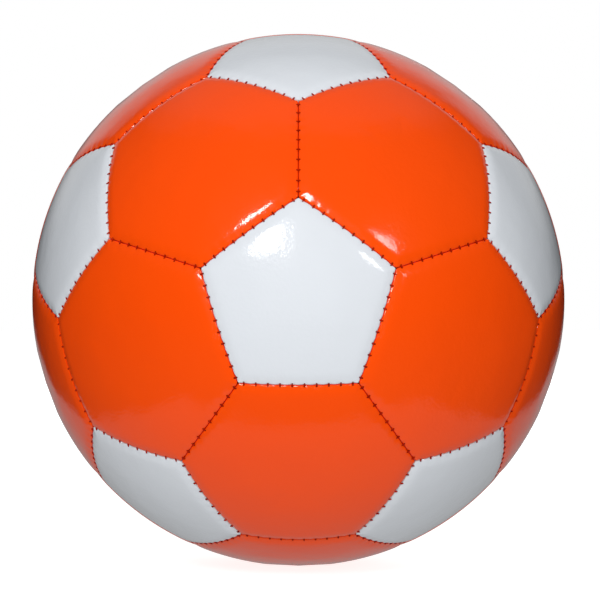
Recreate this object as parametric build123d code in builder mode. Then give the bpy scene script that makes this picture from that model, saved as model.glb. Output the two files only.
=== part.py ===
"""Thirty-two panel soccer ball, size 5, machine stitched.

The cover is sewn from twelve pentagons and twenty hexagons. Each panel is a glossy skin whose edges are
turned in along the seams, with a foam pad and a woven lining laminated under it. A rubber bladder fills
the cover, and its valve stands in the middle of one pentagon.

The origin is the centre of the ball. +Z is up, a pentagon faces -Y with one corner up, and the valve
points along +Y. All lengths are in millimetres.
"""

import os
from itertools import combinations
from math import asin, atan, cos, degrees, pi, radians, sin, sqrt

from build123d import *

PENTAGON = 5
HEXAGON = 6
MIN_Z = (Align.CENTER, Align.CENTER, Align.MIN)

# Ball
ball_diameter = 220.0

# Panel laminate
skin_thickness = 0.9
foam_thickness = 2.0
lining_thickness = 0.8
glue_line = 0.05
roll_radius = 2.2
corner_radius = 2.6
seam_gap = 0.1

# Stitching
thread_diameter = 0.6
stitch_pitch = 4.4
stitch_cover = 0.1
needle_clearance = 0.05
knot_diameter = 0.7

# Bladder and valve
bladder_wall = 0.7
bladder_clearance = 0.1
housing_diameter = 9.0
housing_recess = 0.4
housing_clearance = 0.3
housing_base_diameter = 30.0
housing_base_thickness = 1.2
tail_wall = 1.6
tail_floor = 1.2
tail_exit_diameter = 2.4
patch_diameter = 26.0
patch_thickness = 0.4
plug_length = 13.0
plug_diameter = 4.8
plug_head_diameter = 6.2
plug_head_thickness = 1.6
plug_recess = 0.2
plug_lead = 0.5
plug_clearance = 0.05
needle_diameter = 2.0
needle_funnel_diameter = 3.2
needle_funnel_depth = 0.8
slit_length = 3.0
slit_width = 1.8
slit_thickness = 0.2
rim_fillet = 0.4

# Radii of the layers, from the centre of the ball
ball_radius = ball_diameter / 2
foam_outer = ball_radius - skin_thickness - glue_line
foam_inner = foam_outer - foam_thickness
lining_outer = foam_inner - glue_line
lining_inner = lining_outer - lining_thickness
bladder_outer = lining_inner - bladder_clearance
bladder_inner = bladder_outer - bladder_wall
cut_edge = lining_inner
patch_outer = lining_inner + patch_thickness

# Heights of the valve's pieces along its axis, from the centre of the ball
housing_radius = housing_diameter / 2
panel_hole_radius = housing_radius + housing_clearance
housing_top = ball_radius - housing_recess
housing_base_outer = bladder_inner - glue_line
plug_top = housing_top - plug_recess
plug_bottom = plug_top - plug_length
head_bottom = plug_top - plug_head_thickness
head_seat_radius = plug_head_diameter / 2 + plug_clearance
plug_bore_radius = plug_diameter / 2 + plug_clearance
tail_bottom = plug_bottom - plug_clearance - tail_floor
needle_radius = needle_diameter / 2
needle_funnel_radius = needle_funnel_diameter / 2
needle_bore_bottom = plug_bottom + slit_length
needle_bore_length = plug_top - needle_funnel_depth - needle_bore_bottom

# Thread: rails run inside the turned-in edges, just below their roll, and rungs join the rails of a seam
thread_radius = thread_diameter / 2
knot_radius = knot_diameter / 2
flange_face = seam_gap / 2 + skin_thickness
rail_offset = flange_face + stitch_cover + thread_radius
thread_side = thread_radius * sqrt(pi)
needle_hole_radius = thread_side / sqrt(2) + needle_clearance
rail_radius = ball_radius - roll_radius - stitch_cover - needle_hole_radius
pad_setback = rail_offset + thread_radius + stitch_cover

# Truncated icosahedron: a seam's half angle, and each panel's angle from its middle to a seam's middle
golden = (1 + sqrt(5)) / 2
corner_reach = sqrt(9 * golden + 10) / 2
seam_half_angle = degrees(asin(1 / (2 * corner_reach)))
seam_length = 2 * radians(seam_half_angle) * ball_radius
stitches_per_seam = max(2, round(seam_length / stitch_pitch))
stitch_angles = [
    2 * seam_half_angle * ((stitch + 0.5) / stitches_per_seam - 0.5) for stitch in range(stitches_per_seam)
]


def seam_tilt(sides):
    """Angle, in degrees, from the middle of a panel to the middle of one of its seams."""
    apothem = 1 / (2 * sin(pi / sides)) * cos(pi / sides)
    reach_to_seam = sqrt(corner_reach**2 - 0.25)
    return degrees(asin(apothem / reach_to_seam))


def unit(polar, around):
    """Unit vector at polar degrees from -Y, turned around degrees about Y from +X towards +Z."""
    polar = radians(polar)
    around = radians(around)
    return Vector(sin(polar) * cos(around), -cos(polar), sin(polar) * sin(around))


# Middles of the pentagons, from the front one to the one that holds the valve
ring_angle = degrees(atan(2))
pentagon_middles = [unit(0, 0)]
pentagon_middles += [unit(ring_angle, 90 + 72 * step) for step in range(5)]
pentagon_middles += [unit(180 - ring_angle, 126 + 72 * step) for step in range(5)]
pentagon_middles += [unit(180, 0)]


def are_neighbours(first, second):
    """Whether two pentagons are the ends of one hexagon-to-hexagon seam."""
    return first.dot(second) > 0.1


def outward_plane(outward, along):
    """Plane through the centre of the ball, with Z along outward and X as near to along as it can be."""
    outward = outward.normalized()
    across = outward.cross(along).normalized()
    return Plane(origin=(0, 0, 0), x_dir=across.cross(outward), z_dir=outward)


def pentagon_planes():
    """Planes of the pentagons, with X towards a corner."""
    planes = []
    for middle in pentagon_middles:
        neighbour = next(other for other in pentagon_middles if are_neighbours(middle, other) and other != middle)
        planes.append(outward_plane(middle, neighbour))
    return planes


def hexagon_planes():
    """Planes of the hexagons, which stand between three pentagons, with X towards a corner."""
    planes = []
    for first, second, third in combinations(pentagon_middles, 3):
        if are_neighbours(first, second) and are_neighbours(second, third) and are_neighbours(first, third):
            planes.append(outward_plane(first + second + third, first - third))
    return planes


def hexagon_seam_planes():
    """Planes of the seams between two hexagons, with X along the seam."""
    planes = []
    for first, second in combinations(pentagon_middles, 2):
        if are_neighbours(first, second):
            planes.append(outward_plane(first + second, first - second))
    return planes


def pentagon_seam_planes():
    """Planes of the seams round each pentagon, with X along the seam."""
    planes = []
    for middle in pentagon_middles:
        neighbours = [other for other in pentagon_middles if are_neighbours(middle, other) and other != middle]
        for first, second in combinations(neighbours, 2):
            if are_neighbours(first, second):
                planes.append(outward_plane(middle * 4 + first + second, first - second))
    return planes


def side_normal(sides, side):
    """Direction square to one side wall of a panel that faces +Z, out of the panel."""
    tilt = radians(seam_tilt(sides))
    turn = radians(360 * (side + 0.5) / sides)
    return Vector(cos(turn) * cos(tilt), sin(turn) * cos(tilt), -sin(tilt))


def side_walls(sides, setback):
    """Planes of a panel's side walls, facing out of the panel, each drawn in from its seam by setback."""
    normals = [side_normal(sides, side) for side in range(sides)]
    return [Plane(origin=normal * -setback, z_dir=normal) for normal in normals]


def needle_holes(sides):
    """Planes of the needle holes through a panel's turned-in edges, with Z along each hole."""
    holes = []
    for side in range(sides):
        normal = side_normal(sides, side)
        along_seam = Vector(0, 0, 1).cross(normal).normalized()
        seam_middle = normal.cross(along_seam)
        for angle in stitch_angles:
            stitch = seam_middle * cos(radians(angle)) + along_seam * sin(radians(angle))
            holes.append(Plane(origin=stitch * rail_radius - normal * (flange_face / 2), z_dir=normal))
    return holes


def plate(sides, outer, inner, setback):
    """One layer of a panel that faces +Z, between two radii, with its sides drawn in from the seams."""
    with BuildPart() as layer:
        Sphere(outer, rotation=(90, 0, 0))
        for wall in side_walls(sides, setback):
            split(bisect_by=wall, keep=Keep.BOTTOM)
        Sphere(inner, rotation=(90, 0, 0), mode=Mode.SUBTRACT)
    return layer.part


def panel_skin(sides, hole_radius=0):
    """Glossy skin of a panel that faces +Z: rolled over along the seams, turned in, and pierced by stitches."""
    with BuildPart() as skin:
        add(plate(sides, ball_radius, cut_edge, seam_gap / 2))
        fillet(skin.edges().filter_by(GeomType.LINE), corner_radius)
        fillet(skin.faces().sort_by(Axis.Z)[-1].edges(), roll_radius)
        add(plate(sides, ball_radius - skin_thickness, cut_edge / 2, flange_face), mode=Mode.SUBTRACT)
        with Locations(*needle_holes(sides)):
            Cylinder(needle_hole_radius, 3 * skin_thickness, mode=Mode.SUBTRACT)
        if hole_radius:
            with Locations((0, 0, ball_radius)):
                Cylinder(hole_radius, 4 * skin_thickness, mode=Mode.SUBTRACT)
            fillet(skin.edges().filter_by(GeomType.CIRCLE).sort_by(Axis.Z)[-1], rim_fillet)
    return skin.part


def foam_pad(sides, hole_radius=0):
    """Foam pad under a skin that faces +Z, short of the thread along its edges."""
    with BuildPart() as pad:
        add(plate(sides, foam_outer, foam_inner, pad_setback))
        if hole_radius:
            with Locations((0, 0, foam_outer)):
                Cylinder(hole_radius, 4 * foam_thickness, mode=Mode.SUBTRACT)
    return pad.part


def lining(sides, hole_radius=0):
    """Woven lining under a foam pad that faces +Z. Where it has a hole, its back has a step for the patch."""
    with BuildPart() as cloth:
        add(plate(sides, lining_outer, lining_inner, pad_setback))
        if hole_radius:
            with Locations((0, 0, lining_outer)):
                Cylinder(hole_radius, 4 * lining_thickness, mode=Mode.SUBTRACT)
            add(round_cap(patch_diameter / 2 + glue_line, patch_outer + glue_line, cut_edge / 2), mode=Mode.SUBTRACT)
    return cloth.part


def round_cap(radius, outer, inner):
    """Round cap about +Z, between two radii from the centre of the ball."""
    with BuildPart() as cap:
        Sphere(outer, rotation=(90, 0, 0))
        Cylinder(radius, 2 * ball_diameter, mode=Mode.INTERSECT)
        split(bisect_by=Plane.XY, keep=Keep.TOP)
        Sphere(inner, rotation=(90, 0, 0), mode=Mode.SUBTRACT)
    return cap.part


def seam_thread(knotted=False):
    """Lockstitch of one seam whose middle is at +Z and which runs along X: two rails, and a rung per stitch.

    Pulled tight, the thread is drawn with a square section of the same area as its round one.
    """
    first, last = stitch_angles[0], stitch_angles[-1]
    rung_angle = degrees(thread_side / rail_radius)
    with BuildPart() as thread:
        with BuildSketch(Plane.YZ.rotated((0, first, 0), Extrinsic.XYZ)):
            with Locations((-rail_offset, rail_radius), (rail_offset, rail_radius)):
                Rectangle(thread_side, thread_side)
        revolve(axis=Axis.Y, revolution_arc=last - first)
        for angle in stitch_angles:
            with BuildSketch(Plane.YZ.rotated((0, angle - rung_angle / 2, 0), Extrinsic.XYZ)):
                with Locations((0, rail_radius)):
                    Rectangle(2 * rail_offset, thread_side)
            revolve(axis=Axis.Y, revolution_arc=rung_angle)
        if knotted:
            with Locations(Plane.XY.rotated((0, last, 0)) * Plane(origin=(0, rail_offset, rail_radius))):
                Sphere(knot_radius)
    return thread.part


def bladder():
    """Inflated rubber bladder, with a hole for the valve's stem at +Z."""
    with BuildPart() as balloon:
        Sphere(bladder_outer, rotation=(90, 0, 0))
        Sphere(bladder_inner, rotation=(90, 0, 0), mode=Mode.SUBTRACT)
        with Locations((0, 0, bladder_outer)):
            Cylinder(housing_radius + glue_line, 6 * bladder_wall, mode=Mode.SUBTRACT)
    return balloon.part


def valve_housing():
    """Moulded valve body on +Z: a base bonded inside the bladder, a stem out to the skin and a tail inwards."""
    stem_bottom = housing_base_outer - housing_base_thickness
    with BuildPart() as housing:
        add(round_cap(housing_base_diameter / 2, housing_base_outer, stem_bottom))
        with Locations((0, 0, tail_bottom)):
            Cylinder(plug_bore_radius + tail_wall, housing_top - tail_bottom, align=MIN_Z)
        with Locations((0, 0, stem_bottom - housing_base_thickness)):
            Cylinder(housing_radius, housing_top - stem_bottom + housing_base_thickness, align=MIN_Z)
        fillet(housing.edges().filter_by(GeomType.CIRCLE).sort_by(Axis.Z)[-1], rim_fillet)
        with Locations((0, 0, head_bottom - plug_clearance)):
            Cylinder(head_seat_radius, plug_head_thickness * 2, align=MIN_Z, mode=Mode.SUBTRACT)
        with Locations((0, 0, plug_bottom - plug_clearance)):
            Cylinder(plug_bore_radius, plug_length, align=MIN_Z, mode=Mode.SUBTRACT)
        with Locations((0, 0, tail_bottom)):
            Cylinder(tail_exit_diameter / 2, plug_length, align=MIN_Z, mode=Mode.SUBTRACT)
    return housing.part


def valve_plug():
    """Soft plug that fills the housing: a funnel and a bore that guide the needle, and a slit that seals below."""
    with BuildPart() as plug:
        with Locations((0, 0, plug_bottom)):
            Cylinder(plug_diameter / 2, plug_length, align=MIN_Z)
        chamfer(plug.edges().filter_by(GeomType.CIRCLE).sort_by(Axis.Z)[0], plug_lead)
        with Locations((0, 0, head_bottom)):
            Cylinder(plug_head_diameter / 2, plug_head_thickness, align=MIN_Z)
        fillet(plug.edges().filter_by(GeomType.CIRCLE).sort_by(Axis.Z)[-1], rim_fillet)
        with Locations((0, 0, plug_top - needle_funnel_depth)):
            Cone(needle_radius, needle_funnel_radius, needle_funnel_depth, align=MIN_Z, mode=Mode.SUBTRACT)
        with Locations((0, 0, needle_bore_bottom)):
            Cylinder(needle_radius, needle_bore_length, align=MIN_Z, mode=Mode.SUBTRACT)
        with Locations((0, 0, plug_bottom)):
            Box(slit_width, slit_thickness, 2 * slit_length, align=MIN_Z, mode=Mode.SUBTRACT)
    return plug.part


def valve_patch():
    """Reinforcing ring glued in the step on the back of the valve panel's lining."""
    with BuildPart() as ring:
        add(round_cap(patch_diameter / 2, patch_outer, lining_inner))
        with Locations((0, 0, patch_outer)):
            Cylinder(panel_hole_radius, 6 * patch_thickness, mode=Mode.SUBTRACT)
    return ring.part


def save(name, prototype, *planes):
    """Writes one node: the prototype, built about +Z, placed on each of the planes as separate solids."""
    with BuildPart() as node:
        with Locations(*planes):
            add(prototype)
    node.part.label = name
    export_step(node.part, f"parts/{name}.step")


os.makedirs("parts", exist_ok=True)

# Panels, each on its own; the last pentagon holds the valve
pentagons = pentagon_planes()
hexagons = hexagon_planes()
valve_plane = pentagons.pop()
pentagon_skin = panel_skin(PENTAGON)
hexagon_skin = panel_skin(HEXAGON)
for number, plane in enumerate(pentagons, start=1):
    save(f"pentagon_panel_{number:02d}", pentagon_skin, plane)
for number, plane in enumerate(hexagons, start=1):
    save(f"hexagon_panel_{number:02d}", hexagon_skin, plane)
save("valve_pentagon_panel", panel_skin(PENTAGON, panel_hole_radius), valve_plane)

# Foam pads and linings
save("pentagon_foam_pads", foam_pad(PENTAGON), *pentagons)
save("hexagon_foam_pads", foam_pad(HEXAGON), *hexagons)
save("valve_panel_foam_pad", foam_pad(PENTAGON, panel_hole_radius), valve_plane)
save("pentagon_linings", lining(PENTAGON), *pentagons)
save("hexagon_linings", lining(HEXAGON), *hexagons)
save("valve_panel_lining", lining(PENTAGON, panel_hole_radius), valve_plane)
save("valve_patch", valve_patch(), valve_plane)

# Threads; the seam below the valve pentagon is the one closed last, by hand, and ends in a knot
hexagon_seams = hexagon_seam_planes()
closing_middle = unit(180, 0) + unit(180 - ring_angle, 270)
hexagon_seams.sort(key=lambda plane: plane.z_dir.dot(closing_middle))
closing_plane = hexagon_seams.pop()
thread = seam_thread()
save("pentagon_seam_threads", thread, *pentagon_seam_planes())
save("hexagon_seam_threads", thread, *hexagon_seams)
save("closing_seam_thread", seam_thread(knotted=True), closing_plane)

# Bladder and valve
save("bladder", bladder(), valve_plane)
save("valve_housing", valve_housing(), valve_plane)
save("valve_plug", valve_plug(), valve_plane)
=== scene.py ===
"""Visual model of a thirty-two panel soccer ball, machine stitched, with glossy coated panels.

Twelve white pentagons and twenty orange hexagons are modelled as closed skins: domed, drawn down along
their seams by the stitches and turned in. Each seam has its own row of thread. The foam, cloth, bladder
and valve are the frame's own nodes, with finishes for foam, woven cloth and rubber.
Everything is in metres, in the frame's axes: the ball's centre at the origin, +Z up, a pentagon facing -Y
with one corner up, and the valve on +Y.
"""

from __future__ import annotations

import logging
from collections.abc import Callable
from dataclasses import dataclass, field
from enum import Enum
from itertools import combinations
from math import asin, atan, atan2, cos, exp, pi, radians, sin, sqrt, tan

import bpy
from mathutils import Matrix, Vector


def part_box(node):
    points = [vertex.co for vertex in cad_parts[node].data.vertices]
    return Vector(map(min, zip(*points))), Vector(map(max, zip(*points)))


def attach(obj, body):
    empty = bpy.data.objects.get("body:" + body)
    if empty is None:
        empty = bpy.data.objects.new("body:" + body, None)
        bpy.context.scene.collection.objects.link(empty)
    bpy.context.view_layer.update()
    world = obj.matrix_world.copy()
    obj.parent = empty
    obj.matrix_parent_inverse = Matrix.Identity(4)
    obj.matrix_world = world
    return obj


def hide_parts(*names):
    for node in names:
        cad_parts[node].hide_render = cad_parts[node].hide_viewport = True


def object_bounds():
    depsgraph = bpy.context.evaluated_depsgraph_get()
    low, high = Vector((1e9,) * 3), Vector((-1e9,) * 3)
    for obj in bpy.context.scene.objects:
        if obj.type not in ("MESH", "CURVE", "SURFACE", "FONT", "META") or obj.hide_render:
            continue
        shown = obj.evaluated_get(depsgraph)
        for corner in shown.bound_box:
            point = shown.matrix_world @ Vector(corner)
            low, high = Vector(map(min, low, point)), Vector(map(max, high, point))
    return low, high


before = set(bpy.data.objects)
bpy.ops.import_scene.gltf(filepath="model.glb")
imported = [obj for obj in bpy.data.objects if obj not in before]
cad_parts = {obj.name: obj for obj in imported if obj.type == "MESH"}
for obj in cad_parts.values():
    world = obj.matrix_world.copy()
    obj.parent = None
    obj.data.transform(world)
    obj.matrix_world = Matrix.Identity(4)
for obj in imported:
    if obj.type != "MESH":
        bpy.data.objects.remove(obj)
CAD_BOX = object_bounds()

BALL_BODY = "ball"
VALVE_PANEL = "valve_pentagon_panel"
STITCH_MAP = "stitch_map"
AXIS_Z = Vector((0, 0, 1))
CENTRE = (0, 0, 0)
NEIGHBOUR_COSINE = 0.1
SAME_COSINE = 0.9
SMOOTH_SKIN_ANGLE = radians(50)
SMOOTH_THREAD_ANGLE = radians(60)
DOUBLES_DISTANCE = 0.000005

Colour = tuple[float, float, float, float]
Place = tuple[float, float, float]

log = logging.getLogger("soccer_ball")


class PanelShape(Enum):
    """Outline of a panel; the value is its number of sides."""

    PENTAGON = 5
    HEXAGON = 6


# ---------------------------------------------------------------------------------------------- modelling


def start_modelling() -> None:
    """Leaves edit mode and deselects every object."""
    if bpy.context.object and bpy.context.object.mode != "OBJECT":
        bpy.ops.object.mode_set(mode="OBJECT")
    bpy.ops.object.select_all(action="DESELECT")


def activate(piece: bpy.types.Object) -> None:
    """Selects one object alone and makes it active.

    Args:
        piece: The object.
    """
    start_modelling()
    piece.select_set(True)
    bpy.context.view_layer.objects.active = piece


def pick_vertices(piece: bpy.types.Object, wanted: Callable[[bpy.types.MeshVertex], bool]) -> None:
    """Selects some vertices of a piece and leaves it in edit mode.

    Args:
        piece: The piece.
        wanted: Says of a vertex whether it is selected.
    """
    bpy.ops.object.mode_set(mode="OBJECT")
    mesh = piece.data
    for group in (mesh.vertices, mesh.edges, mesh.polygons):
        group.foreach_set("select", [False] * len(group))
    mesh.vertices.foreach_set("select", [wanted(vertex) for vertex in mesh.vertices])
    bpy.ops.object.mode_set(mode="EDIT")
    bpy.ops.mesh.select_mode(type="VERT")


def apply_modifier(piece: bpy.types.Object, kind: str, **settings: object) -> None:
    """Adds a modifier to a piece and applies it.

    Args:
        piece: The piece.
        kind: The modifier's type.
        **settings: The modifier's properties.
    """
    activate(piece)
    modifier = piece.modifiers.new(kind.title(), kind)
    for name, value in settings.items():
        setattr(modifier, name, value)
    bpy.ops.object.modifier_apply(modifier=modifier.name)


def weigh(piece: bpy.types.Object, name: str, weight: Callable[[bpy.types.MeshVertex], float]) -> None:
    """Gives every vertex of a piece its weight in a new vertex group.

    Args:
        piece: The piece.
        name: The group's name.
        weight: Gives a vertex's weight, from 0 to 1.
    """
    group = piece.vertex_groups.new(name=name)
    for vertex in piece.data.vertices:
        group.add([vertex.index], weight(vertex), "REPLACE")


def placed_copy(piece: bpy.types.Object, name: str, place: Matrix) -> bpy.types.Object:
    """Copies a piece with its own mesh, puts it in its place and applies that place to the mesh.

    Args:
        piece: The piece to copy, modelled about the origin.
        name: The copy's name.
        place: Where the copy goes.

    Returns:
        The copy, with its object at the origin.
    """
    start_modelling()
    copy = piece.copy()
    copy.data = piece.data.copy()
    copy.name = name
    copy.data.name = name
    bpy.context.collection.objects.link(copy)
    copy.matrix_world = place
    activate(copy)
    bpy.ops.object.transform_apply(location=True, rotation=True, scale=True)
    return copy


def dress(piece: bpy.types.Object, material: bpy.types.Material) -> None:
    """Gives a piece one material in all its slots.

    Args:
        piece: The piece.
        material: The material.
    """
    if not piece.data.materials:
        piece.data.materials.append(material)
    for slot in piece.material_slots:
        slot.material = material


# ---------------------------------------------------------------------------------------------- layout


@dataclass(frozen=True)
class BallLayout:
    """Places of the panels and seams, which are those of a truncated icosahedron.

    Attributes:
        radius: The ball's radius.
        stitches: Stitches along one seam.
    """

    radius: float
    stitches: int = 10

    @property
    def corner_reach(self) -> float:
        """Distance of a corner from the centre, for seams of length 1."""
        golden = (1 + sqrt(5)) / 2
        return sqrt(9 * golden + 10) / 2

    @property
    def seam_half_angle(self) -> float:
        """Half the angle that a seam spans, seen from the centre."""
        return asin(0.5 / self.corner_reach)

    @property
    def stitch_angle(self) -> float:
        """Angle between two stitches, seen from the centre."""
        return 2 * self.seam_half_angle / self.stitches

    def corner_angle(self, shape: PanelShape) -> float:
        """Angle from a panel's middle to one of its corners."""
        return asin(0.5 / sin(pi / shape.value) / self.corner_reach)

    def side_angle(self, shape: PanelShape) -> float:
        """Angle from a panel's middle to the middle of one of its sides."""
        return asin(0.5 / tan(pi / shape.value) / sqrt(self.corner_reach**2 - 0.25))

    def pentagon_middles(self) -> list[Vector]:
        """Directions of the twelve pentagons, from the one that faces -Y to the one with the valve."""
        ring = atan(2)
        middles = [Vector((0, -1, 0))]
        for polar, first_turn in ((ring, 90), (pi - ring, 126)):
            for step in range(5):
                turn = radians(first_turn + 72 * step)
                middles.append(Vector((sin(polar) * cos(turn), -cos(polar), sin(polar) * sin(turn))))
        middles.append(Vector((0, 1, 0)))
        return middles

    def neighbours(self, middle: Vector) -> list[Vector]:
        """The five pentagons nearest to one."""
        others = self.pentagon_middles()
        return [other for other in others if NEIGHBOUR_COSINE < middle.dot(other) < SAME_COSINE]

    def pentagons(self) -> list[Matrix]:
        """Places of the pentagons."""
        return [facing(middle, self.neighbours(middle)[0]) for middle in self.pentagon_middles()]

    def hexagons(self) -> list[Matrix]:
        """Places of the hexagons, each between three pentagons."""
        places = []
        for first, second, third in combinations(self.pentagon_middles(), 3):
            if min(first.dot(second), second.dot(third), first.dot(third)) > NEIGHBOUR_COSINE:
                places.append(facing(first + second + third, first - third))
        return places

    def hexagon_seams(self) -> list[Matrix]:
        """Places of the seams between two hexagons."""
        return [
            facing(first + second, first - second)
            for first, second in combinations(self.pentagon_middles(), 2)
            if first.dot(second) > NEIGHBOUR_COSINE
        ]

    def pentagon_seams(self) -> list[Matrix]:
        """Places of the seams round the pentagons."""
        places = []
        for middle in self.pentagon_middles():
            for first, second in combinations(self.neighbours(middle), 2):
                if first.dot(second) > NEIGHBOUR_COSINE:
                    places.append(facing(middle * 4 + first + second, first - second))
        return places


def facing(outward: Vector, towards: Vector) -> Matrix:
    """Turn that takes +Z to one direction and +Y as near as it can to another.

    Args:
        outward: Where +Z goes.
        towards: Where +Y goes, before it is made square to outward.

    Returns:
        The rotation, as a 4 by 4 matrix.
    """
    up = outward.normalized()
    right = towards.cross(up).normalized()
    return Matrix((right, up.cross(right), up)).transposed().to_4x4()


# ---------------------------------------------------------------------------------------------- panels


@dataclass(frozen=True)
class SeamProfile:
    """How far a panel is drawn down near its seam, in metres.

    The foam gives a soft shoulder, the skin rolls over a narrow lip, and each stitch adds a pucker.

    Attributes:
        shoulder_depth: Depth of the soft shoulder at the seam.
        shoulder_reach: How far from the seam the shoulder reaches.
        lip_depth: Depth of the narrow lip at the seam.
        lip_reach: How far from the seam the lip reaches.
        lip_pull: Share by which a stitch deepens the lip.
        pucker_depth: Half the depth of the pucker at a stitch.
        pucker_reach: How far from the seam a pucker reaches.
    """

    shoulder_depth: float = 0.0006
    shoulder_reach: float = 0.0024
    lip_depth: float = 0.0006
    lip_reach: float = 0.00028
    lip_pull: float = 0.35
    pucker_depth: float = 0.00005
    pucker_reach: float = 0.0028

    def depth(self, distance: float, pull: float) -> float:
        """Depth of the skin below the ball's surface.

        Args:
            distance: Distance from the seam along the surface.
            pull: From -1 midway between two stitches to 1 at a stitch.

        Returns:
            The depth.
        """
        shoulder = self.shoulder_depth * exp(-(distance / self.shoulder_reach) ** 2)
        lip = self.lip_depth * exp(-distance / self.lip_reach) * (1 + self.lip_pull * pull)
        pucker = self.pucker_depth * exp(-(distance / self.pucker_reach) ** 2) * (1 + pull)
        return shoulder + lip + pucker


@dataclass
class PanelSkin:
    """Closed skin of one panel, modelled facing +Z with a corner towards +Y.

    Attributes:
        shape: Outline of the panel.
        layout: Layout of the ball.
        profile: How the skin is drawn down along the seams.
        seam_gap: Gap between two skins at a seam.
        corner_round: How much of each corner is rounded off.
        corner_steps: Mesh steps round a corner.
        thickness: Thickness of the skin.
        edge_depth: How far the turned-in edge reaches below the ball's surface.
        steps_per_stitch: Mesh steps from one stitch to the next.
        hole_radius: Radius of the valve's hole, or 0 for none.
        hole_round: How far the hole's rim is rounded outside the hole.
        hole_rings: Radii of the rings round the hole, as shares of its radius.
        hole_margin: How far from the middle the seams' rings stop, as a share of the hole's radius.
        hole_search: Reach that parts the hole's rim from the panel's border, as a share of the radius.
        ring_distances: Distances of the mesh rings from the seam.
        back_distances: Distances of the inner face's rings from the seam.
    """

    shape: PanelShape
    layout: BallLayout
    profile: SeamProfile = field(default_factory=SeamProfile)
    seam_gap: float = 0.0001
    corner_round: float = 0.0011
    corner_steps: int = 4
    thickness: float = 0.0009
    edge_depth: float = 0.0037
    steps_per_stitch: int = 6
    hole_radius: float = 0.0
    hole_round: float = 0.0005
    hole_rings: tuple[float, float] = (2.2, 1.4)
    hole_margin: float = 2.6
    hole_search: float = 3.0
    ring_distances: tuple[float, ...] = (
        0.00006, 0.00016, 0.0003, 0.0005, 0.00075, 0.00105, 0.0014, 0.0019, 0.0025, 0.0032,
        0.004, 0.005, 0.0063, 0.008, 0.0105, 0.0135, 0.017, 0.021, 0.025, 0.029,
    )
    back_distances: tuple[float, ...] = (0.003, 0.010, 0.020)

    def build(self) -> bpy.types.Object:
        """Models the skin.

        Returns:
            The skin, facing +Z.
        """
        self._draw_outline()
        self._add_rings(self.ring_distances)
        self._close_middle()
        self._dome(self.layout.radius)
        self._draw_down_seams()
        self._turn_edges_in()
        self._add_back()
        self._finish_mesh()
        return self.piece

    @property
    def plane_height(self) -> float:
        """Height of the flat outline, whose corners are on the sphere."""
        return self.layout.radius * cos(self.layout.corner_angle(self.shape))

    def _draw_outline(self) -> None:
        """Draws the flat outline with rounded corners and one vertex per mesh step along its sides."""
        start_modelling()
        corner_radius = self.layout.radius * sin(self.layout.corner_angle(self.shape))
        bpy.ops.mesh.primitive_circle_add(vertices=self.shape.value, radius=corner_radius, fill_type="NGON")
        self.piece = bpy.context.object
        self.piece.name = f"{self.shape.name.lower()}_skin"
        bpy.ops.object.mode_set(mode="EDIT")
        bpy.ops.transform.translate(value=(0, 0, self.plane_height))
        bpy.ops.mesh.bevel(offset=self.corner_round, segments=self.corner_steps, affect="VERTICES")
        bpy.ops.mesh.select_all(action="SELECT")
        bpy.ops.mesh.delete(type="ONLY_FACE")
        bpy.ops.object.mode_set(mode="OBJECT")
        side = 2 * corner_radius * sin(pi / self.shape.value)
        mesh = self.piece.data
        mesh.vertices.foreach_set("select", [False] * len(mesh.vertices))
        for edge in mesh.edges:
            start, end = (mesh.vertices[index].co for index in edge.vertices)
            edge.select = (start - end).length > side / 2
        bpy.ops.object.mode_set(mode="EDIT")
        bpy.ops.mesh.select_mode(type="EDGE")
        bpy.ops.mesh.subdivide(number_cuts=self.layout.stitches * self.steps_per_stitch - 1)
        bpy.ops.mesh.select_mode(type="VERT")
        bpy.ops.mesh.select_all(action="SELECT")
        bpy.ops.mesh.edge_face_add()
        bpy.ops.mesh.normals_make_consistent(inside=False)
        bpy.ops.object.mode_set(mode="OBJECT")
        if self.piece.data.polygons[0].normal.z < 0:
            self.piece.data.flip_normals()
        bpy.ops.object.mode_set(mode="EDIT")
        self.reach = 1.0
        self._scale_to(self.seam_gap / 2)

    def _scale_to(self, distance: float) -> None:
        """Scales the selected face so that its sides lie at a distance from the seams.

        Args:
            distance: Distance from the seam along the ball's surface.
        """
        tilt = self.layout.side_angle(self.shape)
        reach = tan(tilt - distance / self.layout.radius) / tan(tilt)
        factor = reach / self.reach
        bpy.ops.transform.resize(value=(factor, factor, 1), center_override=(0, 0, self.plane_height))
        self.reach = reach

    def _add_rings(self, distances: tuple[float, ...]) -> None:
        """Insets the face, ring by ring, and stops short of the valve's hole if there is one."""
        apothem = self.layout.radius * self.layout.side_angle(self.shape)
        last = apothem - self.hole_margin * self.hole_radius
        for distance in (each for each in distances if each < last):
            bpy.ops.mesh.inset(thickness=0)
            self._scale_to(distance)

    def _close_middle(self) -> None:
        """Closes the middle to a pole, or opens the round hole for the valve."""
        if not self.hole_radius:
            bpy.ops.mesh.merge(type="CENTER")
            return
        radii = [share * self.hole_radius for share in self.hole_rings]
        for radius in (*radii, self.hole_radius + self.hole_round):
            bpy.ops.mesh.inset(thickness=0)
            self._round_off(radius)
        bpy.ops.mesh.delete(type="ONLY_FACE")

    def _round_off(self, radius: float) -> None:
        """Makes the selected ring of vertices a circle about the panel's middle.

        Args:
            radius: The circle's radius.
        """
        bpy.ops.object.mode_set(mode="OBJECT")
        ring = {vertex.index for vertex in self.piece.data.vertices if vertex.select}
        group = f"circle_{len(self.piece.vertex_groups)}"
        weigh(self.piece, group, lambda vertex: float(vertex.index in ring))
        apply_modifier(
            self.piece, "CAST", cast_type="CYLINDER", factor=1, radius=0, size=radius,
            use_radius_as_size=False, vertex_group=group,
        )
        pick_vertices(self.piece, lambda vertex: vertex.index in ring)

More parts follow.
